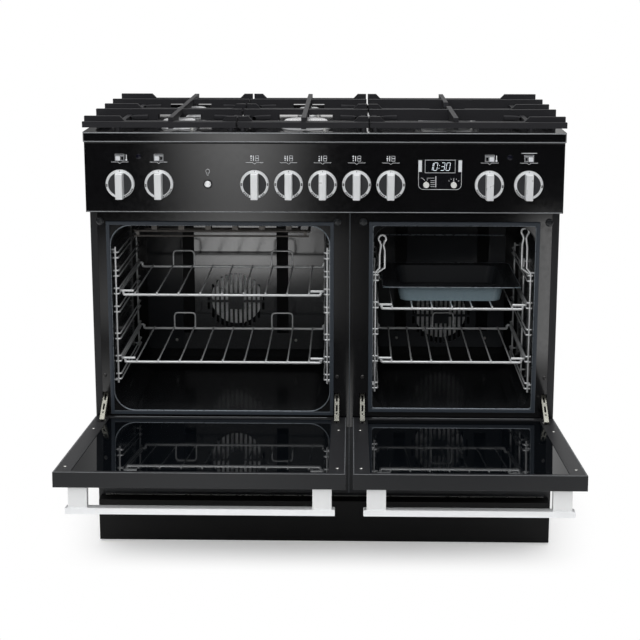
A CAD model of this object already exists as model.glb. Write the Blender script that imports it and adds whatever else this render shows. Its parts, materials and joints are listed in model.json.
"""Finish and detail of a range cooker with two ovens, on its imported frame.

Sizes are in millimetres, but those of the camera, the floor and the lights are in metres. The front faces -Y
and +Z is up. Pieces are placed from the frame's own nodes.
"""
import json
import math

import bpy
from mathutils import Matrix, Vector

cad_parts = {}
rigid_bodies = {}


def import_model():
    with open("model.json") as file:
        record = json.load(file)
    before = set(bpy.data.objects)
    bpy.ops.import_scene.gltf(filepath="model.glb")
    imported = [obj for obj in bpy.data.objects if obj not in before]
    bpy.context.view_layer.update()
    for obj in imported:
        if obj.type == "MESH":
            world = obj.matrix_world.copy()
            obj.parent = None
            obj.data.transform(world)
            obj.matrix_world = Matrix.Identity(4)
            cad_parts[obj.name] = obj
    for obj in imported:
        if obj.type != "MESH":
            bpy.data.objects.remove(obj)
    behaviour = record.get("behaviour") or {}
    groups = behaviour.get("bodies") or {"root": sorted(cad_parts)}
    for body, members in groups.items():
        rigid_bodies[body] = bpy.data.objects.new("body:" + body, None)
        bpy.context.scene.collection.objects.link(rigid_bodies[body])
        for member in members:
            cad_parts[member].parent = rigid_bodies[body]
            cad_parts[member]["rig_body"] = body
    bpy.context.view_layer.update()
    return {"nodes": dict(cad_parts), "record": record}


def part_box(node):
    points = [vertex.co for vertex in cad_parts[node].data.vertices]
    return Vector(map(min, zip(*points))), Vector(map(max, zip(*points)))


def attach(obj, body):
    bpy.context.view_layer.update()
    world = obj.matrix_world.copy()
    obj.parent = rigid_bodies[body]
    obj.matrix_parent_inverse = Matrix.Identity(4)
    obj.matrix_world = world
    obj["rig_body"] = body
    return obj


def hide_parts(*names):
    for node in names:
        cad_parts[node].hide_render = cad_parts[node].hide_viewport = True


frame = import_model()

MM = 0.001
SIDES = ("left", "right")
KNOBS = [f"knob_{i}" for i in range(1, 10)]
GAS_KNOBS = KNOBS[2:7]
OVEN_KNOBS = [k for k in KNOBS if k not in GAS_KNOBS]
FRONT, BACK, UP = (0, -1, 0), (0, 1, 0), (0, 0, 1)
WHITE = (1, 1, 1, 1)
PRINT = 0.2              # how far a printed mark stands off the panel
SHEET = 1.5
RAIL_IN = 12.5           # from an oven's wall to the rails that carry the shelves
DOOR_TOP, DOOR_OPEN = 727, 85    # the top of a shut door, and how many degrees it opens
PIVOT_OUT, PIVOT_Z = 15, 268     # a door's axis, in front of the oven frame's face
HINGE_IN = 21            # from a door's side to the middle of its hinge
# heights over the oven's floor
RUNGS = {"left": (64, 104, 154, 214, 254, 293, 333), "right": (39, 99, 159, 218, 278)}
SHELF_RUNGS = {"left": {"lower": 104, "upper": 254}, "right": {"lower": 99, "upper": 218}}
# each burner's place across the hob and behind its front edge, and its cap's radius, the widest for a wok
BURNERS = ((-317, 166, 35), (-317, 416, 35), (-42, 166, 47), (-42, 416, 24), (272, 295, 58))
WOK = 58
# profiles of the screw heads, each with its recess, as radius and height
SCREWS = {"door": ((3.2, 0), (3.2, 0.5), (2.4, 1.3), (1.2, 1.5), (0.9, 0.8)),
          "frame": ((4.2, -0.2), (4.2, 0.8), (3.2, 1.9), (1.4, 2.2), (1, 1.4)),
          "back": ((4, -0.2), (4, 0.6), (3, 1.7), (1.5, 2), (1.1, 1.2)),
          "cover": ((3.4, -0.2), (3.4, 0.8), (2.5, 1.8), (1.2, 2), (0.8, 1.2))}


# ---------- nodes ----------

def linear(colour):
    """The linear value of an sRGB hex colour, with alpha 1."""
    parts = [int(colour[i:i + 2], 16) / 255 for i in (1, 3, 5)]
    return [c / 12.92 if c <= 0.04045 else ((c + 0.055) / 1.055) ** 2.4 for c in parts] + [1.0]


def add_node(tree, kind, settings=None):
    """Adds a node and sets its properties and inputs by name or number. A socket is linked to its input."""
    node = tree.nodes.new(kind)
    for key, value in (settings or {}).items():
        if isinstance(value, bpy.types.NodeSocket):
            tree.links.new(value, node.inputs[key])
        elif isinstance(key, int) or key in node.inputs:
            node.inputs[key].default_value = value
        else:
            setattr(node, key, value)
    return node


def reckon(tree, operation, *terms):
    """The result of a sum on sockets and plain numbers."""
    return add_node(tree, "ShaderNodeMath", {"operation": operation, **dict(enumerate(terms))}).outputs[0]


def graded(tree, value, span, levels, soft=False):
    """A value that runs from the first level to the second while value runs over the span."""
    return add_node(tree, "ShaderNodeMapRange", {
        "interpolation_type": "SMOOTHSTEP" if soft else "LINEAR", "Value": value, "From Min": span[0],
        "From Max": span[1], "To Min": levels[0], "To Max": levels[1]}).outputs[0]


def chosen(tree, share, first, second):
    """The first value where share is 0, and the second where it is 1."""
    return add_node(tree, "ShaderNodeMix", {"data_type": "FLOAT", 0: share, 2: first, 3: second}).outputs[0]


def along_axes(tree, place):
    """The X, Y and Z of one of the places that a texture can follow."""
    source = add_node(tree, "ShaderNodeTexCoord").outputs[place]
    return add_node(tree, "ShaderNodeSeparateXYZ", {"Vector": source}).outputs


def glow(tree, strength):
    return add_node(tree, "ShaderNodeEmission", {"Color": WHITE, "Strength": strength}).outputs[0]


def blank_material(name):
    material = bpy.data.materials.new(name)
    material.use_nodes = True
    material.node_tree.nodes.clear()
    return material, material.node_tree


# ---------- camera, floor and light ----------

def placed(name, data):
    """A new object of the data, put in the scene."""
    thing = bpy.data.objects.new(name, data)
    bpy.context.scene.collection.objects.link(thing)
    return thing


def set_camera():
    """The viewpoint of the photograph: a long lens, a little above the hob, looking down at the open doors."""
    data = bpy.data.cameras.new("camera")
    data.sensor_width = 36
    data.lens = 81.76
    data.shift_y = -0.10
    camera = placed("camera", data)
    camera.location = (0.0562, -3.0622, 1.2519)
    camera.rotation_euler = (math.radians(78.4), 0, math.radians(1.23))
    bpy.context.scene.camera = camera


def set_world():
    """An even pale room. Polished faces see it white behind the cooker and darker towards the front."""
    world = bpy.data.worlds.new("studio")
    bpy.context.scene.world = world
    world.use_nodes = True
    tree = world.node_tree
    tree.nodes.clear()
    rays = add_node(tree, "ShaderNodeLightPath").outputs
    # the world's direction: Y runs from the front, at -1, to the back, at 1
    towards = along_axes(tree, "Generated")
    depth = graded(tree, towards["Y"], (-0.35, 0.25), (0.1, 1.0))
    middle = graded(tree, reckon(tree, "ABSOLUTE", towards["X"]), (0.06, 0.19), (1.0, 0.12), True)
    height = graded(tree, towards["Z"], (0.25, 0.8), (0.0, 0.75))
    seen = reckon(tree, "MAXIMUM", reckon(tree, "MULTIPLY", depth, middle), height)
    white = reckon(tree, "MAXIMUM", rays["Is Camera Ray"], rays["Is Transmission Ray"])
    strength = chosen(tree, white, chosen(tree, rays["Is Glossy Ray"], 0.8, seen), 1.0)
    background = add_node(tree, "ShaderNodeBackground", {"Color": WHITE, "Strength": strength})
    add_node(tree, "ShaderNodeOutputWorld", {"Surface": background.outputs[0]})


def set_lamp(name, place, aim, size, power):
    data = bpy.data.lights.new(name, "AREA")
    data.shape = "RECTANGLE"
    data.size, data.size_y = size
    data.energy = power
    lamp = placed(name, data)
    lamp.location = place
    lamp.rotation_euler = (Vector(aim) - Vector(place)).to_track_quat("-Z", "Y").to_euler()
    return lamp


def lit_strip(tree, spot, middle, half, stop, span, levels):
    """How bright a soft strip of light is that lies on the floor along Y.

    Its middle line and half width are each given at Y 0 and as a slope. It fades out over the stretch of Y
    in stop, and its brightness runs between the two levels over the span.
    """
    centre, width = (reckon(tree, "MULTIPLY_ADD", spot["Y"], slope, base) for base, slope in (middle, half))
    off = reckon(tree, "ABSOLUTE", reckon(tree, "SUBTRACT", spot["X"], centre))
    across = graded(tree, reckon(tree, "DIVIDE", off, width), (0.0, 1.0), (1.0, 0.0), True)
    level = graded(tree, spot["Y"], span, levels)
    ending = graded(tree, spot["Y"], stop, (1.0, 0.0), True)
    return reckon(tree, "MULTIPLY", reckon(tree, "MULTIPLY", across, level), ending)


def past(tree, place, middle, half):
    """How far a place lies outside a span along one axis, and 0 inside it."""
    off = reckon(tree, "ABSOLUTE", reckon(tree, "SUBTRACT", place, middle))
    return reckon(tree, "MAXIMUM", reckon(tree, "SUBTRACT", off, half), 0.0)


def set_floor():
    """A white floor that fades into the white of the room and keeps the cooker's soft shadow."""
    deselect()
    bpy.ops.mesh.primitive_circle_add(vertices=96, radius=60, fill_type="NGON")
    floor = bpy.context.object
    floor.name = "floor"
    material, tree = blank_material("white_floor")
    rays = add_node(tree, "ShaderNodeLightPath").outputs
    spot = along_axes(tree, "Object")
    # the shadow lies close round the plinth, and the floor is plain white further out
    away = add_node(tree, "ShaderNodeCombineXYZ", {"X": past(tree, spot["X"], 0, 0.47),
                                                   "Y": past(tree, spot["Y"], 0.19, 0.265)})
    away = add_node(tree, "ShaderNodeVectorMath", {"operation": "LENGTH", 0: away.outputs[0]})
    fade = graded(tree, away.outputs["Value"], (0.0, 0.17), (0.0, 1.0), True)
    # what polished faces see of it: pale near the cooker, dark further off, with three soft strips of light
    ground = graded(tree, spot["Y"], (-1.7, -1.0), (0.03, 0.9))
    paint = add_node(tree, "ShaderNodeBsdfDiffuse", {"Color": ground}).outputs[0]
    left = lit_strip(tree, spot, (-0.174, 0.079), (0.2, -0.069), (-2.3, -1.5), (-6.6, -4.4), (1.9, 1.15))
    right = lit_strip(tree, spot, (0.468, -0.138), (0.09, -0.024), (-1.7, -1.3), (-4.25, -3.9), (0.0, 2.0))
    oven = lit_strip(tree, spot, (-0.52, 0.0), (0.75, 0.0), (-2.3, -1.5), (-4.0, -3.5), (0.0, 1.1))
    strips = reckon(tree, "ADD", reckon(tree, "ADD", left, right), oven)
    sheen = glow(tree, reckon(tree, "MULTIPLY", strips, rays["Is Glossy Ray"]))
    reflected = add_node(tree, "ShaderNodeAddShader", {0: paint, 1: sheen}).outputs[0]
    seen = add_node(tree, "ShaderNodeAddShader", {0: paint, 1: glow(tree, 0.3)}).outputs[0]
    near = add_node(tree, "ShaderNodeMixShader", {0: rays["Is Camera Ray"], 1: reflected, 2: seen}).outputs[0]
    far = reckon(tree, "MULTIPLY", fade, rays["Is Camera Ray"])
    surface = add_node(tree, "ShaderNodeMixShader", {0: far, 1: near, 2: glow(tree, 1.0)}).outputs[0]
    add_node(tree, "ShaderNodeOutputMaterial", {"Surface": surface})
    floor.data.materials.append(material)


# ---------- finishes ----------

def finish(name, colour, other, roughness, spread, grain, bump=0.0, inputs=None):
    """A material whose colour wanders to another, and whose roughness and relief follow its grain."""
    material, tree = blank_material(name)
    place = add_node(tree, "ShaderNodeTexCoord")
    noise = add_node(tree, "ShaderNodeTexNoise", {"Scale": 1 / (grain * MM), "Detail": 3.0,
                                                  "Vector": place.outputs["Object"]}).outputs["Fac"]
    tint = add_node(tree, "ShaderNodeMix", {"data_type": "RGBA", 0: noise, 6: linear(colour), 7: linear(other)})
    rough = graded(tree, noise, (0.3, 0.7), (max(0.0, roughness - spread), roughness + spread))
    surface = add_node(tree, "ShaderNodeBsdfPrincipled", {"Base Color": tint.outputs[2], "Roughness": rough,
                                                          **(inputs or {})})
    if bump:
        relief = add_node(tree, "ShaderNodeBump", {"Strength": 1.0, "Distance": bump * MM, "Height": noise})
        tree.links.new(relief.outputs["Normal"], surface.inputs["Normal"])
    add_node(tree, "ShaderNodeOutputMaterial", {"Surface": surface.outputs["BSDF"]})
    return material


# the real material, its colour and the one it wanders to, roughness and how far that strays, grain, relief,
# and the shader's other inputs
FINISHES = {
    # vitreous enamel, fired glossy: black, with a faint orange-peel flow
    "black_enamel": ("gloss_black_enamel", "#070708", "#0a0a0c", 0.08, 0.02, 9, 0.0012, {"IOR": 1.66}),
    # ground-coat enamel of the cavities: charcoal with fine pale specks
    "cavity_enamel": ("speckled_cavity_enamel", "#0a0b0c", "#17181a", 0.16, 0.05, 1.2, 0.006, {"IOR": 1.5}),
    # enamelled fan covers, a shade lighter than the cavity
    "grey_enamel": ("grey_cover_enamel", "#17181a", "#1f2123", 0.15, 0.04, 1.4, 0.002),
    "dark_cover_enamel": ("dark_cover_enamel", "#1d1f22", "#2b2d30", 0.2, 0.05, 1.4, 0.006),
    # powder-coated sheet: satin black
    "black_painted_steel": ("satin_black_powder_coat", "#131416", "#18191c", 0.33, 0.05, 1.6, 0.02),
    # zinc plating: pale grey with soft clouds
    "zinc_steel": ("zinc_plated_steel", "#c4c4c0", "#d2d2ce", 0.3, 0.06, 14, 0, {"Metallic": 0.8}),
    # yellow-passivated zinc on the hinge stays
    "passivated_steel": ("passivated_zinc_steel", "#a9a99f", "#bdbcb2", 0.26, 0.05, 12, 0, {"Metallic": 0.85}),
    # plain stainless steel: warm grey, rolled
    "stainless_steel": ("rolled_stainless_steel", "#9a9894", "#aba9a4", 0.28, 0.06, 10, 0, {"Metallic": 1.0}),
    # heating tube, dulled and browned by heat
    "heated_tube": ("heat_dulled_tube", "#6f6c69", "#55524f", 0.34, 0.06, 6, 0, {"Metallic": 0.8}),
    # bright nickel-chrome wire
    "chromed_wire": ("chromed_wire", "#f2f4f5", "#e6e8ea", 0.16, 0.04, 12, 0, {"Metallic": 0.6}),
    # polished and clear-anodised aluminium of the handles: the bars bright, the posts a little duller
    "chrome": ("satin_polished_aluminium", "#f4f5f6", "#eceef0", 0.32, 0.03, 20, 0, {"Metallic": 0.2}),
    "post_metal": ("satin_aluminium_post", "#eceded", "#e4e5e6", 0.34, 0.03, 20, 0, {"Metallic": 0.15}),
    # the knobs' and the button's metallised plastic: silvery satin
    "knob_metal": ("satin_metallised_plastic", "#eef0f1", "#e6e8ea", 0.3, 0.03, 20, 0, {"Metallic": 0.3}),
    "button_metal": ("metallised_button", "#f2f3f4", "#e8eaec", 0.2, 0.03, 8, 0, {"Metallic": 0.25}),
    # die-cast aluminium of the burners: pale, matt, slightly grainy
    "cast_aluminium": ("die_cast_aluminium", "#c9cacb", "#b9babc", 0.4, 0.06, 0.9, 0.02, {"Metallic": 0.6}),
    # matt-enamelled cast iron: dark grey with the casting's grain
    "cast_iron": ("matt_cast_iron", "#1f1f22", "#29292c", 0.55, 0.08, 1.1, 0.05, {"Specular IOR Level": 0.3}),
    # machined brass of the taps
    "brass": ("machined_brass", "#b5944f", "#a58645", 0.3, 0.05, 7, 0, {"Metallic": 1.0}),
    # moulded plastics: white, and gloss black
    "white_plastic": ("moulded_white_plastic", "#e4e4e1", "#dcdcd8", 0.3, 0.04, 5),
    "black_plastic": ("gloss_black_plastic", "#0d0e11", "#121317", 0.12, 0.03, 4),
    # unlit neon lens: deep blue-violet
    "lamp_plastic": ("neon_lens", "#09090f", "#101020", 0.12, 0.03, 3),
    # dark-coated oven glass: a black mirror
    "dark_glass": ("dark_coated_glass", "#05070a", "#080b0f", 0.03, 0.01, 60, 0, {"IOR": 1.9}),
    # moulded silicone seal: blue grey
    "seal_rubber": ("silicone_seal", "#2a2f36", "#343b43", 0.4, 0.06, 2.5, 0.01),
    # moulded rubber of the door buffers, and the matt gasket under the hob
    "buffer_rubber": ("moulded_rubber", "#1d1f21", "#26282a", 0.24, 0.05, 2),
    "gasket": ("matt_black_gasket", "#050506", "#08080a", 0.6, 0.04, 2),
    # knob discs: dark grey satin
    "knob_disc": ("dark_knob_disc", "#28292b", "#313235", 0.34, 0.05, 3),
    # printed marks: white on the panel, dark on the knobs' rings
    "print_white": ("white_print", "#d9dbde", "#cfd1d5", 0.4, 0.03, 2),
    "print_dark": ("dark_print", "#1c1d1f", "#262729", 0.4, 0.03, 2),
    # lit figures of the clock
    "display_light": ("lit_figures", "#dfe6ee", "#d4dde8", 0.4, 0.02, 2, 0,
                      {"Emission Color": linear("#dfe6ee"), "Emission Strength": 0.6}),
    # enamel of the burner caps: pale satin grey
    "cap_enamel": ("satin_cap_enamel", "#d4d5d6", "#cacbcd", 0.28, 0.05, 3, 0, {"Metallic": 0.2}),
    # blue-grey enamel of the grill pan
    "pan_enamel": ("blue_grey_pan_enamel", "#7b8c94", "#708189", 0.28, 0.05, 2),
    # matt black of the plinth, and the grey-black of the fascia over it
    "plinth_paint": ("matt_plinth_paint", "#040405", "#070708", 0.5, 0.05, 1.6, 0,
                     {"Specular IOR Level": 0.3}),
    "fascia_paint": ("satin_fascia_paint", "#2b2c2e", "#323335", 0.6, 0.05, 1.6, 0,
                     {"Specular IOR Level": 0.3}),
    # satin paint inside the doors, and on the caps of their top edges
    "frame_paint": ("satin_door_frame_paint", "#222325", "#29292c", 0.42, 0.05, 1.6),
    "cap_paint": ("satin_cap_paint", "#1b1c1e", "#202123", 0.34, 0.04, 1.6),
    # enamel drawn thin over rounded edges and along the seam, where the sheen breaks to grey
    "edge_enamel": ("thin_edge_enamel", "#85888b", "#707376", 0.3, 0.06, 6, 0, {"IOR": 1.66}),
    "seam_enamel": ("seam_enamel", "#41464b", "#363b3f", 0.3, 0.05, 4),
    # ground edges of the liners, where the steel shines through the enamel
    "mouth_lip": ("worn_enamel_edge", "#a3abb3", "#7d858d", 0.3, 0.08, 9, 0, {"Metallic": 0.7}),
    # pressed aluminium of the fans: bright and even
    "fan_metal": ("pressed_aluminium", "#eeeff0", "#dfe0e2", 0.3, 0.05, 5, 0, {"Metallic": 0.3}),
    # blackened screws of the oven frame: dark with a dull shine
    "frame_screw": ("blackened_screw", "#5b5a58", "#48474a", 0.3, 0.05, 3, 0, {"Metallic": 0.8}),
}
finishes = {key: finish(*row) for key, row in FINISHES.items()}


def dull_wing(material, span):
    """Takes the gloss off a fan cover to the left of the span, which lies under its first row of vents."""
    tree = material.node_tree
    surface = next(node for node in tree.nodes if node.type == "BSDF_PRINCIPLED")
    gloss = graded(tree, along_axes(tree, "Object")["X"], [x * MM for x in span], (1.3, 2.2))
    tree.links.new(gloss, surface.inputs["IOR"])


def dress(piece, paint, slot=None, body="cabinet"):
    """Gives the piece its finish, its slot and its body. A slot that isn't given has the finish's own name."""
    piece.data.materials.clear()
    piece.data.materials.append(finishes[paint])
    slot = slot or paint
    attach(piece, body)
    return piece


def paint_node(name, paint):
    for slot in frame["nodes"][name].material_slots:
        slot.material = finishes[paint]


def paint_frame():
    """Gives every frame node the finish of its own slot, and some nodes a finish that suits them better."""
    for part in frame["record"]["subparts"]:
        paint_node(part["node"], part["material_slot"])
    for side in SIDES:
        paint_node(f"liner_{side}", "cavity_enamel")
        paint_node(f"hinge_stays_{side}", "passivated_steel")
        paint_node(f"fan_{side}", "fan_metal")
    paint_node("grill_element", "heated_tube")


# ---------- making pieces ----------

def deselect():
    bpy.ops.object.select_all(action="DESELECT")


def switch(mode):
    """Goes over to editing a mesh, or back to whole objects."""
    bpy.ops.object.mode_set(mode=mode)


def pick(piece):
    deselect()
    piece.select_set(True)
    bpy.context.view_layer.objects.active = piece


def settle(piece):
    """Puts the piece's place, turn and scale into its mesh."""
    pick(piece)
    bpy.ops.object.transform_apply(location=True, rotation=True, scale=True)


def smooth(piece, degrees=35):
    """Shades the piece as round over its gentle edges, and keeps its large faces flat."""
    pick(piece)
    bpy.ops.object.shade_smooth_by_angle(angle=math.radians(degrees))
    modifier = piece.modifiers.new("flat_faces", "WEIGHTED_NORMAL")
    modifier.keep_sharp = True
    modifier.weight = 90
    bpy.ops.object.modifier_apply(modifier=modifier.name)


def ease(piece, width, segments=2):
    """Rounds the piece's edges."""
    modifier = piece.modifiers.new("eased_edges", "BEVEL")
    modifier.width = width * MM
    modifier.segments = segments
    modifier.limit_method = "ANGLE"
    modifier.angle_limit = math.radians(30)
    pick(piece)
    bpy.ops.object.modifier_apply(modifier=modifier.name)


def body_of(node):
    return frame["nodes"][node]["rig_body"]


def softened(node, name, width, segments=2):
    """A copy of a frame node with its edges eased, which stands for the node."""
    piece = placed(name, frame["nodes"][node].data.copy())
    pick(piece)
    switch("EDIT")
    bpy.ops.mesh.select_all(action="SELECT")
    bpy.ops.mesh.remove_doubles(threshold=0.02 * MM)
    bpy.ops.mesh.dissolve_limited(angle_limit=math.radians(0.8))
    switch("OBJECT")
    ease(piece, width, segments)
    smooth(piece)
    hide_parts(node)
    return piece


def join(name, pieces):
    pick(pieces[0])
    for piece in pieces[1:]:
        piece.select_set(True)
    bpy.ops.object.join()
    pieces[0].name = name
    return pieces[0]


def spin(piece, degrees, centre, axis="Z"):
    """Turns a piece about an axis through centre, and puts that into its mesh."""
    there = Matrix.Translation(Vector(centre) * MM)
    piece.matrix_world = there @ Matrix.Rotation(math.radians(degrees), 4, axis) @ there.inverted()
    settle(piece)
    return piece


def opened(piece):
    """Swings a piece drawn on a shut door out to where the open door stands."""
    return spin(piece, DOOR_OPEN, (0, front() - PIVOT_OUT, PIVOT_Z), "X")


def box(node):
    """The low and the high corner of a frame node."""
    return [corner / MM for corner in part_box(node)]


def middle_of(node):
    low, high = box(node)
    return (low + high) / 2


def front():
    """The plane of the oven frame's face."""
    return box("liner_left")[0].y


def inside(side):
    """The middle, half width, floor and roof of an oven's cavity."""
    low, high = box(f"liner_{side}")
    return (low.x + high.x) / 2, (high.x - low.x) / 2 - SHEET, low.z + SHEET, high.z - SHEET


def bar(name, low, high, edge=0.5):
    """A straight bar or plate from its low corner to its high corner, with eased edges."""
    deselect()
    low, high = Vector(low) * MM, Vector(high) * MM
    bpy.ops.mesh.primitive_cube_add(size=1, location=(low + high) / 2)
    piece = bpy.context.object
    piece.name = name
    piece.scale = high - low
    settle(piece)
    if edge:
        ease(piece, edge)
        smooth(piece)
    return piece


def turned(name, rings, place, facing, sides=48):
    """A round piece turned about its axis. Rings are its radius and distance along the axis, first to last."""
    deselect()
    radius, along = rings[0]
    bpy.ops.mesh.primitive_circle_add(vertices=sides, radius=radius * MM, fill_type="NGON", location=(0, 0, 0))
    piece = bpy.context.object
    piece.name = name
    switch("EDIT")
    bpy.ops.mesh.select_all(action="SELECT")
    bpy.ops.transform.translate(value=(0, 0, along * MM))
    for (radius, along), (wider, further) in zip(rings, rings[1:]):
        bpy.ops.mesh.extrude_region_move(TRANSFORM_OT_translate={"value": (0, 0, (further - along) * MM)})
        bpy.ops.transform.resize(value=(wider / radius, wider / radius, 1))
    bpy.ops.mesh.select_all(action="SELECT")
    bpy.ops.mesh.normals_make_consistent(inside=False)
    switch("OBJECT")
    piece.rotation_euler = Vector(facing).to_track_quat("Z", "Y").to_euler()
    piece.location = Vector(place) * MM
    settle(piece)
    smooth(piece)
    return piece


def screws(name, kind, places, facing, sides=20):
    """Screw heads of one kind, as one piece."""
    return join(name, [turned("screw", SCREWS[kind], place, facing, sides) for place in places])


def bent(points, radius):
    """The points of a wire's run, with an arc of this radius at each bend."""
    points = [Vector(p) for p in points]
    run = [points[0]]
    for before, point, after in zip(points, points[1:], points[2:]):
        back, ahead = before - point, after - point
        reach = min(radius, back.length * 0.48, ahead.length * 0.48)
        start, end = point + back.normalized() * reach, point + ahead.normalized() * reach
        for k in range(6):
            t = k / 5
            run.append(start * (1 - t) ** 2 + point * 2 * t * (1 - t) + end * t ** 2)
    return run + [points[-1]]


def arc(radius, start, end, step, centre=(0, 0)):
    """Points on an arc about centre, as pairs, from one angle to another in degrees."""
    angles = [math.radians(a) for a in range(start, end + 1, step)]
    return [(centre[0] + radius * math.cos(a), centre[1] + radius * math.sin(a)) for a in angles]


def round_corners(left, right, low, high, radius, steps):
    """The points of a rectangle with round corners, as pairs."""
    points = []
    for cx, cy, start in ((right - radius, high - radius, 0), (left + radius, high - radius, 90),
                          (left + radius, low + radius, 180), (right - radius, low + radius, 270)):
        for k in range(steps + 1):
            a = math.radians(start + 90 * k / steps)
            points.append((cx + radius * math.cos(a), cy + radius * math.sin(a)))
    return points


def meshed(name, curve):
    """Makes a curve into a piece."""
    pick(placed(name, curve))
    bpy.ops.object.convert(target="MESH")
    return bpy.context.object


def wires(name, runs, radius, closed=False, fineness=2):
    """Round wires along runs of points, as one piece."""
    curve = bpy.data.curves.new(name, "CURVE")
    curve.dimensions = "3D"
    curve.bevel_depth = radius * MM
    curve.bevel_resolution = fineness
    curve.use_fill_caps = True
    for run in runs:
        spline = curve.splines.new("POLY")
        spline.points.add(len(run) - 1)
        for point, place in zip(spline.points, run):
            point.co = (*(Vector(place) * MM), 1)
        spline.use_cyclic_u = closed
    piece = meshed(name, curve)
    smooth(piece, 50)
    return piece


# ---------- cabinet and hob ----------

def dress_sheetwork():
    """Folded and eased sheet metal: panels, frame, fascia, plinth and hob."""
    enamel, painted = "black_enamel", "black_painted_steel"
    for node, width, paint, slot in (
            ("control_panel", 1.6, enamel, enamel), ("hob_top", 3.4, enamel, enamel),
            ("side_panel_left", 0.5, painted, painted), ("side_panel_right", 0.5, painted, painted),
            ("front_frame", 0.4, enamel, enamel), ("lower_fascia", 0.6, "fascia_paint", painted),
            ("plinth", 0.6, "plinth_paint", painted)):
        dress(softened(node, f"{node}_sheet", width), paint, slot, body_of(node))


def make_edges():
    """The rolled edges of hob and control panel, the gasket between them, and the seam between the ovens."""
    low, high = box("hob_top")
    roll, foot = 1.5, high.z - 21
    lip = low.y + roll - 0.4
    edges = []
    for z in (high.z - roll, foot + roll):
        run = [(low.x + roll, high.y - 4, z), (low.x + roll, lip, z), (high.x - roll, lip, z),
               (high.x - roll, high.y - 4, z)]
        edges.append(wires("lip_roll", [bent(run, 6)], roll))
    low, high = box("control_panel")
    roll = 1.2
    run = [(x, low.y + roll - 0.5, low.z + roll) for x in (low.x + 2 * roll, high.x - 2 * roll)]
    edges.append(wires("panel_roll", [run], roll))
    dress(join("enamel_edges", edges), "edge_enamel", "black_enamel")
    gasket = bar("hob_gasket", (low.x + 1, low.y - 0.4, foot - 3), (high.x - 1, low.y + 1, foot), 0.3)
    dress(gasket, "gasket", "black_plastic")
    middle = (door_sides("left")[1] + door_sides("right")[0]) / 2
    strip = box("front_frame")[0]
    seam = bar("frame_seam", (middle - 1.8, strip.y - 0.4, strip.z + 6),
               (middle + 0.2, strip.y + 0.4, low.z - 1), 0.3)
    dress(seam, "seam_enamel", "black_enamel")


def dress_pan_supports():
    """The cast pan supports, with webs in the corners between their bars."""
    half_bar = 5
    rows = [front() + y for y in (-1, 145, 259, 372, 505)]
    for place in ("left", "centre", "right"):
        node = f"pan_support_{place}"
        dress(softened(node, f"{node}_casting", 1.8, 3), "cast_iron", body=node)
        low, high = box(node)
        left = low.x + (74 if place == "left" else 20) + half_bar
        right = high.x - (74 if place == "right" else 20) - half_bar
        pairs = ((0, 1), (3, 4)) if place == "right" else ((0, 1), (2, 3), (3, 4))
        bows = [bow(x, rows[row] + depth * half_bar, way, depth, high.z - 24) for pair in pairs
                for x, way in ((left, 1), (right, -1)) for row, depth in zip(pair, (1, -1))]
        dress(join(f"{node}_bows", bows), "cast_iron", body=node)


def bow(x, y, way, depth, foot):
    """A quarter-round web cast into the corner between two bars."""
    reach, thick, height, steps = 34, 7, 12, 8
    curve = bpy.data.curves.new("bow", "CURVE")
    curve.dimensions = "2D"
    curve.fill_mode = "NONE"
    curve.extrude = (height - thick) / 2 * MM
    curve.bevel_depth = thick / 2 * MM
    curve.bevel_resolution = 2
    spline = curve.splines.new("POLY")
    spline.points.add(steps)
    for k, point in enumerate(spline.points):
        a = math.radians(90 * k / steps)
        across, back = x + way * reach * (1 - math.sin(a)), y + depth * reach * (1 - math.cos(a))
        point.co = (across * MM, back * MM, 0, 1)
    piece = meshed("bow", curve)
    piece.location.z = (foot + height / 2) * MM
    settle(piece)
    smooth(piece, 50)
    return piece


# ---------- doors ----------

def door_sides(side):
    """The left and the right edge of a door."""
    low, high = box(f"door_panel_{side}")
    return low.x, high.x


def hinge_places(side):
    """Where a door's two hinges stand across the cooker, each with its stay and its buffer."""
    left, right = door_sides(side)
    return left + HINGE_IN, right - HINGE_IN


def dress_handles():
    """The door handles: a bright bar on posts that are a little duller."""
    for side in SIDES:
        node = f"door_handle_{side}"
        piece = dress(softened(node, f"{node}_bar", 2.2, 3), "chrome", body=body_of(node))
        piece.data.materials.append(finishes["post_metal"])
        bar_top = box(node)[0].z + 15
        for face in piece.data.polygons:
            if face.center.z > bar_top * MM:
                face.material_index = 1


def dress_doors():
    """The doors' sheets and glass, with a cap along the top edge, bright rims, and screws in the frame."""
    for side in SIDES:
        for kind, width, paint, slot in (
                ("door_panel", 0.8, "black_enamel", "black_enamel"),
                ("door_frame", 0.5, "frame_paint", "black_painted_steel"),
                ("door_glass", 0.6, "dark_glass", "dark_glass")):
            node = f"{kind}_{side}"
            dress(softened(node, f"{node}_dressed", width), paint, slot, body_of(node))
        left, right = door_sides(side)
        body = body_of(f"door_panel_{side}")
        inner = front() - 5
        cap = bar(f"door_cap_{side}", (left, front() - 34, DOOR_TOP - 6), (right, inner, DOOR_TOP + 0.05), 0.8)
        dress(opened(cap), "cap_paint", "black_painted_steel", body)
        # the rim is open round the hinges
        edge, foot, top, gap = 2, 263, DOOR_TOP - 1, 2 * HINGE_IN
        runs = [[(left + edge, foot), (left + edge, top), (right - edge, top), (right - edge, foot)],
                [(left + gap, foot), (right - gap, foot)]]
        rim = wires(f"door_rim_{side}", [[(x, inner - 0.4, z) for x, z in run] for run in runs], 0.9)
        dress(opened(rim), "edge_enamel", "black_enamel", body)
        places = [(x, inner, z) for x in (left + 16, right - 16) for z in (380, DOOR_TOP - 42)]
        dress(opened(screws(f"door_screws_{side}", "door", places, BACK)), "zinc_steel", body=body)


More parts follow.
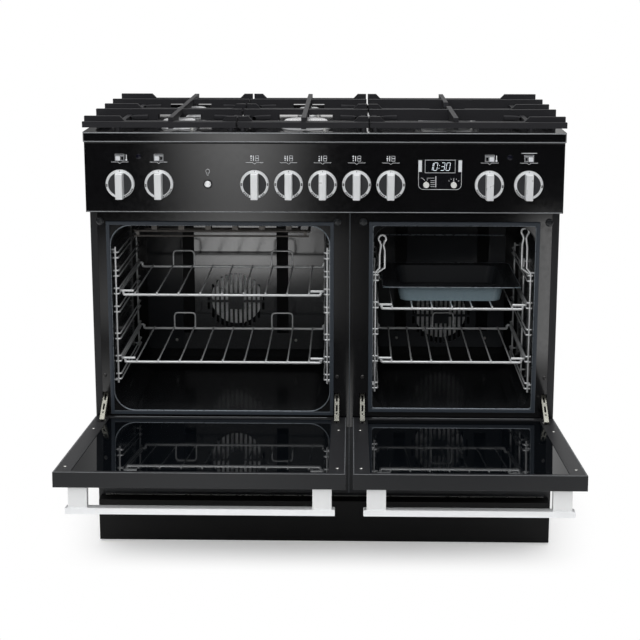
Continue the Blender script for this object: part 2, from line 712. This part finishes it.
def make_stays():
    """The stays: zinc channels, with their round and long holes cut through the web."""
    pin_in, pin_z, lean, hole = 46.83, 282.83, 31, 2.2
    for side in SIDES:
        node = f"hinge_stays_{side}"
        piece = softened(node, f"{node}_channels", 0.3)
        cutters = []
        for x in hinge_places(side):
            for along, length in ((14, 0), (30, 14), (58, 14), (82, 0)):
                half = length / 2 + hole
                cutter = bar("cutter", (-2, along - half, 2), (2, along + half, 12), 1.8)
                cutter.location = Vector((x, front() - pin_in, pin_z)) * MM
                cutter.rotation_euler = (math.radians(lean), 0, 0)
                settle(cutter)
                cutters.append(cutter)
        cutter = join("cutter", cutters)
        modifier = piece.modifiers.new("holes", "BOOLEAN")
        modifier.operation = "DIFFERENCE"
        modifier.solver = "EXACT"
        modifier.object = cutter
        pick(piece)
        bpy.ops.object.modifier_apply(modifier=modifier.name)
        bpy.data.objects.remove(cutter)
        smooth(piece)
        dress(piece, "passivated_steel", "zinc_steel", body_of(node))


def make_buffers():
    """Rubber buffers and screws on the face of the oven frame, in line with the hinges."""
    across = [x for side in SIDES for x in hinge_places(side)]
    rings = ((8.5, -0.2), (8.5, 2), (7.6, 3.2), (5.4, 4.1), (2.5, 4.5))
    rubbers = [turned("buffer", rings, (x, front(), 706), FRONT, 36) for x in across]
    dress(join("door_buffers", rubbers), "buffer_rubber", "black_plastic")
    heads = screws("frame_screws", "frame", [(x, front(), 367) for x in across], FRONT, 24)
    dress(heads, "frame_screw", "zinc_steel")


def make_back_screws():
    """The screws round the sides and the foot of the back panel."""
    low, high = box("back_panel")
    side_in, foot_in, spaces = 12, 14, 5
    wide, tall = high.x - low.x, (high.z - low.z) * 0.94
    places = [(low.x + side_in, low.z + tall * k / spaces + foot_in) for k in range(spaces + 1)]
    places += [(high.x - side_in, z) for x, z in places]
    places += [(low.x + wide * k / spaces, low.z + foot_in) for k in range(1, spaces)]
    dress(screws("back_screws", "back", [(x, high.y, z) for x, z in places], BACK), "zinc_steel")


# ---------- controls ----------

def on_panel(x, z, out=0):
    """A place on the control panel's face, this far in front of it."""
    return Vector((x, box("control_panel")[0].y - out, z))


def knob_place(node):
    """Where a knob's axis stands, across and up. All knobs are as high as the timer's own."""
    return middle_of(node).x, middle_of("timer_selector").z


def make_knob(node):
    """A bright ring with a dark disc in it, an upright grip across it, and a scale on the ring."""
    rim, hub, deep = 30, 24.3, 7
    grip_half, grip_up, grip_down = 8.5, 25, 30.5
    x, z = knob_place(node)
    middle = on_panel(x, z, 1)
    face = middle.y - deep
    rings = ((rim - 0.8, 0), (rim, 0.8), (rim, deep - 2.6), (rim - 0.9, deep - 1), (hub + 1.3, deep),
             (hub + 0.3, deep - 0.2), (hub, deep - 1.6))
    ring = turned(f"{node}_ring", rings, middle, FRONT, 72)
    rings = ((hub, deep - 3), (hub, deep - 0.9), (hub - 0.8, deep - 0.4))
    disc = turned(f"{node}_disc", rings, middle, FRONT, 64)
    grip = bar(f"{node}_grip", (x - grip_half, box(node)[0].y, z - grip_down),
               (x + grip_half, face + 2, z + grip_up), 0)
    narrow_face(grip, FRONT, (0.86, 1, 0.97))
    ease(grip, 1.6, 3)
    smooth(grip)
    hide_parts(node)
    if node in GAS_KNOBS:
        turns = (86, 92, 135, 143, 151, 209, 217, 225, 233, 268, 274)
    elif x < 0:
        turns = (*range(112, 161, 8), 262, 268)
    else:
        turns = (92, 98, *range(200, 249, 8))
    ticks = [bar("tick", (x - 0.5, face - 0.15, z + hub + 2.2), (x + 0.5, face + 1, z + rim - 1.2), 0)]
    for turn in turns:
        tick = bar("tick", (x - 1.1, face - 0.05, z + hub + 1.5), (x + 1.1, face + 1.6, z + rim - 1.2), 0)
        ticks.append(spin(tick, turn, middle, "Y"))
    dress(ring, "knob_metal", "chrome", node)
    dress(disc, "knob_disc", "black_plastic", node)
    dress(grip, "knob_metal", "chrome", node)
    dress(join(f"{node}_scale", ticks), "print_dark", "black_plastic", node)


def narrow_face(piece, normal, scale):
    """Scales the faces that look along normal, which tapers the piece."""
    pick(piece)
    switch("EDIT")
    bpy.ops.mesh.select_all(action="DESELECT")
    switch("OBJECT")
    for face in piece.data.polygons:
        face.select = face.normal.dot(Vector(normal)) > 0.9
    switch("EDIT")
    bpy.ops.transform.resize(value=scale)
    switch("OBJECT")


def mark(left, right, low, high):
    """A printed bar on the control panel."""
    return bar("mark", on_panel(left, low, PRINT), on_panel(right, high, -PRINT), 0)


def line_mark(points, radius=0.35, closed=False):
    """A printed line on the control panel."""
    return wires("line_mark", [[on_panel(x, z) for x, z in points]], radius, closed, 0)


def box_mark(left, right, low, high, radius=0.35):
    return line_mark([(left, low), (right, low), (right, high), (left, high)], radius, True)


def dot_mark(x, z, radius, top):
    """A printed dot on the control panel, drawn in to its top radius."""
    return turned("dot_mark", ((radius, 0), (top, 0.25)), on_panel(x, z), FRONT, 16)


def underline(x, z):
    """The line under a symbol, notched towards the knob below it."""
    return line_mark([(x - 18, z + 0.8), (x - 17, z), (x - 4, z), (x, z - 3.2), (x + 4, z), (x + 17, z),
                      (x + 18, z + 0.8)], 0.4)


def gas_symbol(node):
    """Burner places: three dots, a bar and two boxes, with one dot filled out for this knob's burner."""
    x, z = knob_place(node)
    z += 54
    radii = [1.3] * 3
    radii[GAS_KNOBS.index(node) % 3] = 2.0
    pieces = [underline(x, z - 9)]
    pieces += [dot_mark(x - 7, z + up, radius, radius * 0.9) for up, radius in zip((4.2, 0, -4.2), radii)]
    pieces.append(mark(x - 3.2, x - 1.4, z - 5.5, z + 5.5))
    pieces += [box_mark(x + 2, x + 8.5, z + up, z + up + 4.8, 0.6) for up in (-5.2, 0.4)]
    return join(f"{node}_symbol", pieces)


def oven_symbol(node):
    """The cooker's outline with one oven filled in, a thermometer beside it, or a bar for the grill over it."""
    x, z = knob_place(node)
    z += 55
    pieces = [underline(x, z - 9.5), box_mark(x - 9.5, x + 9.5, z - 7, z + 7),
              mark(x - 9.5, x + 9.5, z + 4.2, z + 5)]
    if x < 0:
        pieces += [mark(x - 8.6, x + 0.8, z - 6.2, z + 2.8), box_mark(x + 2.4, x + 8.2, z - 5.6, z + 2.4)]
    else:
        pieces += [mark(x - 0.8, x + 8.6, z - 6.2, z + 2.8), box_mark(x - 8.2, x - 2.4, z - 5.6, z + 2.4)]
    if node in (OVEN_KNOBS[0], OVEN_KNOBS[2]):
        pieces += [mark(x + 13, x + 14.6, z - 5, z + 6), dot_mark(x + 13.8, z - 5, 2.2, 2)]
    if node == OVEN_KNOBS[3]:
        pieces.append(mark(x - 16, x + 16, z + 10.5, z + 11.7))
    return join(f"{node}_symbol", pieces)


def make_symbols():
    for node in GAS_KNOBS:
        dress(gas_symbol(node), "print_white", "white_plastic")
    for node in OVEN_KNOBS:
        dress(oven_symbol(node), "print_white", "white_plastic")


LEAN = 0.16              # of the clock's figures, across over up
FIGURES = {"0": "abcdef", "1": "bc", "3": "abcdg"}
SEGMENTS = {"a": ((0, 1), (1, 1)), "b": ((1, 1), (1, 0.5)), "c": ((1, 0.5), (1, 0)), "d": ((0, 0), (1, 0)),
            "e": ((0, 0), (0, 0.5)), "f": ((0, 0.5), (0, 1)), "g": ((0, 0.5), (1, 0.5))}
# the lines printed round each small knob of the clock, from the knob's middle, each with its radius
TIMER_STROKES = {
    "timer_selector": [*(([(9, up), (18, up)], 0.4) for up in (-4, 0.2, 4.4, 8.6)), ([(20, -5), (20, 18)], 0.9),
                       ([(2, 9), (2, 14), (17, 14)], 0.4), ([(-3, 9), (-8, 14), (-11, 14)], 0.4)],
    "timer_setter": [*((ends, 0.5) for ends in zip(arc(12, 40, 140, 25), arc(14, 40, 140, 25))),
                     ([(0, 8), (0, 11.5)], 0.7)]}


def digit(figure, x, face, foot):
    """A leaning seven-segment figure."""
    wide, tall, gap = 7.4, 16, 0.7
    runs = []
    for segment in FIGURES[figure]:
        a, b = (Vector((x + u * wide + LEAN * v * tall, face, foot + v * tall)) for u, v in SEGMENTS[segment])
        cut = (b - a).normalized() * gap
        runs.append([a + cut, b - cut])
    return wires("timer_digit", runs, 0.6, fineness=0)


def make_timer():
    """The clock: a dark glossy face with a framed display, light bars, symbols and two small knobs."""
    low, high = box("timer_module")
    x, top, face = (low.x + high.x) / 2, high.z, low.y
    dress(softened("timer_module", "timer_case", 0.5), "black_plastic")
    # the line round the face, the frame of the display, and a line for each stroke beside the small knobs
    inset, radius, end = 1.2, 10, top - 26
    left, right, foot = low.x + inset, high.x - inset, low.z + inset
    around = [(left, end), *arc(radius, 180, 270, 15, (left + radius, foot + radius)),
              *arc(radius, 270, 360, 15, (right - radius, foot + radius)), (right, end)]
    framed = [(x - 31, top - 28), (x + 31, top - 28), (x + 31, top - 1.5), (x - 31, top - 1.5)]
    lines = [wires("timer_line", [[(px, face, pz) for px, pz in points]], width, closed, 0)
             for points, width, closed in ((around, 0.45, False), (framed, 0.6, True))]
    for a in (low.x + 0.6, high.x - 7.8):
        lines.append(bar("timer_bar", (a, face - 0.3, end), (a + 7.2, face + 0.2, top - 2), 0.15))
    for node, strokes in TIMER_STROKES.items():
        dial = middle_of(node)
        for points, width in strokes:
            lines.append(wires("timer_line", [[(dial.x + px, face, dial.z + pz) for px, pz in points]], width,
                               fineness=0))
    dress(join("timer_lines", lines), "print_white", "white_plastic")
    figures = [digit(figure, x + along, face, top - 23)
               for figure, along in (("1", -24), ("0", -14.5), ("3", 0.5), ("0", 11.5))]
    colon = ((0.8, 0), (0.7, 0.3))
    figures += [turned("timer_colon", colon, (x - 3.2 + up * LEAN, face, top - 22.5 + up), FRONT, 12)
                for up in (4, 10)]
    dress(join("timer_figures", figures), "display_light", "white_plastic")
    screen = bar("timer_screen", (x - 30, face - 0.15, top - 27), (x + 30, face + 0.3, top - 2.5), 0.1)
    dress(screen, "dark_glass")
    for node in TIMER_STROKES:
        low, high = box(node)
        x, y, z = middle_of(node).x, face - 0.8, middle_of(node).z
        radius = (high.x - low.x) / 2
        cap = turned(f"{node}_cap", ((radius, 0), (radius, 5), (radius - 0.6, 7.6), (radius - 1.6, 8.2)),
                     (x, y, z), FRONT, 40)
        tip = bar(f"{node}_pointer", (x - 0.8, low.y, z + 1), (x + 0.8, y - 1, z + radius + 1.2), 0.4)
        piece = join(f"{node}_knob", [cap, tip])
        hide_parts(node)
        dress(piece, "white_plastic", "chrome", node)


def make_lights():
    """The oven light's button in its dark surround with a lamp symbol over it, and the two neon lamps."""
    low, high = box("light_button")
    place = on_panel(middle_of("light_button").x, middle_of("light_button").z)
    rings = ((9.2, -0.5), (9.2, 1.4), (8.4, 2.4), (6.6, 2.2), (6.2, -0.5))
    dress(turned("light_button_surround", rings, place, FRONT), "black_plastic")
    stem = (high.x - low.x) / 2 - 2
    rings = ((stem, -3), (stem, 0.5), (stem - 0.3, 4), (stem - 1.2, 4.7), (stem - 3, 5))
    cap = turned("light_button_cap", rings, place, FRONT)
    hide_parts("light_button")
    dress(cap, "button_metal", "white_plastic", "light_button")
    x, z = place.x, place.z + 25
    bulb = [(x + 1.4, z - 5), *arc(4, -50, 230, 20, (x, z + 2)), (x - 1.4, z - 5)]
    symbol = [line_mark(bulb, 0.4), line_mark([(x - 1.6, z - 6.6), (x + 1.6, z - 6.6)], 0.5)]
    dress(join("lamp_symbol", symbol), "print_white", "white_plastic")
    low, high = box("indicator_lamps")
    lens = 5.5
    rings = ((lens, 0), (lens, 0.8), (4.9, 1.2), (4.3, 1.2), (4, 0.7), (3, 1), (1.5, 1.2))
    lenses = [turned("neon", rings, on_panel(x, (low.z + high.z) / 2), FRONT, 32)
              for x in (low.x + lens, high.x - lens)]
    piece = join("neon_lenses", lenses)
    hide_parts("indicator_lamps")
    dress(piece, "lamp_plastic")


# ---------- ovens ----------

def dress_ovens():
    """The seals and fan covers, and what stands in each oven."""
    dress(softened("oven_seals", "mouth_seals", 1.6, 3), "seal_rubber")
    for side, enamel in (("left", "grey_enamel"), ("right", "dark_cover_enamel")):
        dress(softened(f"fan_cover_{side}", f"fan_cover_{side}_plate", 0.35), enamel, "grey_enamel")
        make_mouth(side)
        make_cover_details(side)
        make_ladders(side)
        for level in ("upper", "lower"):
            make_shelf(side, level)
    make_grill_pan()


def make_mouth(side):
    """The bright rolled edge of the liner round the mouth."""
    x, half, floor, roof = inside(side)
    outline = round_corners(x - half, x + half, floor, roof, 45 if side == "left" else 7, 8)
    lip = wires(f"mouth_lip_{side}", [[(px, front() - 0.9, pz) for px, pz in outline]], 1.3, True)
    dress(lip, "mouth_lip", "stainless_steel")


def make_cover_details(side):
    """A fan cover's screws, the dark behind its two rows of vents, and the fold across it."""
    x, half = inside(side)[:2]
    low, high = box(f"fan_cover_{side}")
    places = [(x + way * 0.62 * half, low.y, z) for way in (-1, 1) for z in (low.z + 22, high.z - 16)]
    dress(screws(f"cover_screws_{side}", "cover", places, FRONT), "zinc_steel")
    vents = [x + way * (113 if side == "left" else 98) for way in (-1, 1)]
    shades = [bar("vent_shade", (vent - 17, low.y + 2.4, low.z + 55), (vent + 17, low.y + 3.2, high.z - 35), 0)
              for vent in vents]
    dress(join(f"vent_shades_{side}", shades), "gasket", "grey_enamel")
    if side == "left":
        fold = bar("cover_fold_left", (x - 99, low.y - 0.9, 557), (x + 99, low.y + 0.5, 561), 0.6)
        dress(fold, "black_plastic", "grey_enamel")
    else:
        fold = bar("cover_fold_right", (low.x + 3, low.y - 3, 602), (high.x - 3, low.y + 0.5, 604.4), 0.8)
        dress(fold, "mouth_lip", "grey_enamel")


def make_ladders(side):
    """The side ladders: wire posts with pegs, rungs in pairs with bent ends, and hooks over the right posts."""
    node = f"ladders_{side}"
    x, half, floor = inside(side)[:3]
    rungs = [floor + up for up in RUNGS[side]]
    foot, top = rungs[0] - 8, rungs[-1] + 24
    post, near, far = half - 6.25, front() + 22, front() + 330
    posts, steps = [], []
    for way in (-1, 1):
        for y in ((near, far) if side == "left" else (near, (near + far) / 2.6, far)):
            run = [(post, foot), (post, top)]
            if side == "right" and y == near:
                peak = floor + (395 if way > 0 else 379)
                run = [(post, foot), (post, floor + 296), (half - 15, floor + 306), (half - 15, peak - 44),
                       (half - 17.9, peak - 24), *arc(8, -50, 230, 20, (half - 20.5, peak - 10)),
                       (half - 23.1, peak - 24), (half - 26, peak - 36), (half - 26, floor + 306),
                       (post - 3, floor + 294)]
            posts.append([(x + way * out, y, z) for out, z in run])
            for z in (max(rungs[0] - 2, floor + 47), top - 6):
                posts.append([(x + way * out, y, z) for out in (post, half)])
        ends = ((half - 1.5, near), (half - RAIL_IN, near), (half - RAIL_IN, far), (post, far))
        for z in rungs:
            for up in (0, 12):
                steps.append(bent([(x + way * out, y, z + up) for out, y in ends], 4))
    piece = join(f"{node}_wires", [wires("posts", posts, 2.2), wires("steps", steps, 2)])
    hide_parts(node)
    dress(piece, "chromed_wire")


def make_shelf(side, level):
    """A chromed wire shelf: bent runners, front and back bars, cross wires, their ends on the front bar, loops."""
    node = f"shelf_{side}_{level}"
    x, half, floor = inside(side)[:3]
    rail, end = half - RAIL_IN, half - RAIL_IN - 8
    run = floor + SHELF_RUNGS[side][level] + 5.3
    low = run - 9
    near, far = front() + 30, front() + 324
    count, pitch, loops = (9, 46.9, (-115.5, 115.5)) if side == "left" else (7, 43, (0,))
    corners = ((rail - 30, near), (rail, near), (rail, far), (end, far))
    runners = [bent([(x + way * out, y, run) for out, y in corners], 6) for way in (-1, 1)]
    bars = [bent([(x - end, y, run), (x - end, y, low), (x + end, y, low), (x + end, y, run)], 4)
            for y in (near, far)]
    cross, nubs = [], []
    for i in range(count):
        px = x + (i - (count - 1) / 2) * pitch
        cross.append(bent([(px, near - 1.4, low + 1), (px, near - 1, low + 3.3), (px, far, low + 3.3)], 1.5))
        nubs.append([(px, near - 0.4, low + up) for up in (3, 6.4)])
    for shift in loops:
        a, b, top = x + shift - 24.5, x + shift + 24.5, low + 38
        cross.append(bent([(a, far, low), (a, far, top), (b, far, top), (b, far, low)], 9))
    piece = join(f"{node}_wires", [wires("runners", runners, 2.8), wires("bars", bars, 3),
                                   wires("cross", cross, 1.9), wires("nubs", nubs, 2)])
    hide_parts(node)
    dress(piece, "chromed_wire", body=node)


def make_grill_pan():
    """The grill pan: a flat flange with a rolled rim that rests on the shelf, round a deep tapered tray."""
    low, high = box("grill_pan")
    x, y = (low.x + high.x) / 2, (low.y + high.y) / 2
    sheet, flange, corner = 1.4, 31, 22
    deselect()
    bpy.ops.mesh.primitive_plane_add(size=1, location=Vector((x, y, high.z - 1)) * MM)
    tray = bpy.context.object
    tray.name = "grill_pan_tray"
    tray.scale = ((high.x - low.x - 3) * MM, (high.y - low.y - 3) * MM, 1)
    settle(tray)
    switch("EDIT")
    bpy.ops.mesh.select_all(action="SELECT")
    bpy.ops.mesh.inset(thickness=flange * MM)
    bpy.ops.mesh.extrude_region_move(TRANSFORM_OT_translate={"value": (0, 0, (1.8 - (high.z - low.z)) * MM)})
    bpy.ops.transform.resize(value=(0.93, 0.92, 1))
    # round the tray's upright corners
    bpy.ops.mesh.select_mode(type="EDGE")
    bpy.ops.mesh.select_all(action="DESELECT")
    switch("OBJECT")
    for edge in tray.data.edges:
        a, b = (tray.data.vertices[v].co for v in edge.vertices)
        edge.select = abs(a.z - b.z) > 10 * MM
    switch("EDIT")
    bpy.ops.mesh.bevel(offset=corner * MM, segments=6)
    bpy.ops.mesh.select_mode(type="VERT")
    bpy.ops.mesh.select_all(action="SELECT")
    bpy.ops.mesh.normals_make_consistent(inside=False)
    switch("OBJECT")
    modifier = tray.modifiers.new("sheet", "SOLIDIFY")
    modifier.thickness = sheet * MM
    modifier.offset = 0
    pick(tray)
    bpy.ops.object.modifier_apply(modifier=modifier.name)
    ease(tray, 0.5)
    smooth(tray)
    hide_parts("grill_pan")
    dress(tray, "pan_enamel", "grey_enamel", "shelf_right_upper")
    # the tray is darker inside
    tray.data.materials.append(finishes["dark_cover_enamel"])
    for face in tray.data.polygons:
        inwards = Vector((x * MM - face.center.x, y * MM - face.center.y, 0))
        if face.normal.z > 0.9 or face.normal.dot(inwards.normalized()) > 0.2:
            face.material_index = 1
    edge, roll = 1.6, 1.1
    outline = round_corners(low.x + edge, high.x - edge, low.y + edge, high.y - edge, 18, 6)
    rim = wires("grill_pan_rim", [[(px, py, high.z - roll) for px, py in outline]], roll, True)
    dress(rim, "mouth_lip", "chromed_wire", "shelf_right_upper")


# ---------- burners ----------

def make_burners():
    """Each burner: a ported aluminium head, a cap, a spark electrode and, on the wok burner, a second crown."""
    low, high = box("burner_caps")
    hob_low, hob_high = box("hob_top")
    base, foot = low.z, hob_high.z - 10
    heads, caps, sparks = [], [], []
    for x, back, cap in BURNERS:
        y = hob_low.y + back
        wall = cap * 0.9
        heads.append(turned("head", ((cap * 1.12, 0), (cap * 1.12, 1.5), (cap * 1.02, 4.5), (wall, 5.5),
                                     (wall, base - foot)), (x, y, foot), UP, 72))
        teeth = 12 + cap // 2
        for k in range(teeth):
            tooth = bar("port_rib", (x + wall - 1.5, y - 1.2, foot + 6),
                        (x + wall + 2.2, y + 1.2, base - 0.3), 0)
            heads.append(spin(tooth, 360 * k / teeth, (x, y, 0)))
        if cap == WOK:
            caps.append(crown((x, y, base), cap, cap - 14, high.z - base))
            caps.append(turned("wok_cap", ((24, 0), (25, 1), (24, 4), (20, 5.4)), (x, y, base), UP))
        else:
            caps.append(turned("cap", ((cap - 1, 0), (cap, 0.8), (cap, 2.6), (cap - 1.2, 4.2), (cap - 4, 5.4),
                                       (cap * 0.5, 6)), (x, y, base), UP, 72))
        aside, pin = cap * 0.87, ((3, 0), (3, 7), (2, 8), (1, 9), (1, 11.5))
        sparks.append(turned("spark", pin, (x + aside, y - aside, foot), UP, 16))
    piece = join("burner_heads_ported", heads)
    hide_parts("burner_heads")
    dress(piece, "cast_aluminium")
    piece = join("burner_caps_turned", caps)
    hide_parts("burner_caps")
    dress(piece, "cap_enamel", "cast_aluminium")
    dress(join("spark_electrodes", sparks), "white_plastic")


def crown(place, outer, inner, height):
    """A flat ring with a domed top and an open middle."""
    deselect()
    bpy.ops.mesh.primitive_torus_add(major_segments=72, minor_segments=16,
                                     major_radius=(outer + inner) / 2 * MM, minor_radius=(outer - inner) / 2 * MM)
    piece = bpy.context.object
    piece.name = "crown"
    piece.scale = (1, 1, height / (outer - inner))
    piece.location = (Vector(place) + Vector((0, 0, height / 2))) * MM
    settle(piece)
    smooth(piece, 60)
    return piece


# ---------- the whole ----------

def main():
    bpy.context.scene.view_settings.view_transform = "Standard"
    set_camera()
    set_world()
    set_floor()
    set_lamp("top_softbox", (0, -0.6, 3.0), (0, 0, 0.6), (2.4, 1.8), 30)
    set_lamp("front_softbox", (-0.6, -3.6, 1.9), (0, 0, 0.55), (1.6, 1.2), 34).visible_glossy = False
    dull_wing(finishes["grey_enamel"], (-350, -338))
    paint_frame()
    dress_sheetwork()
    make_edges()
    dress_pan_supports()
    dress_handles()
    dress_doors()
    for node in KNOBS:
        make_knob(node)
    make_symbols()
    make_timer()
    make_lights()
    dress_ovens()
    make_stays()
    make_buffers()
    make_back_screws()
    make_burners()


main()
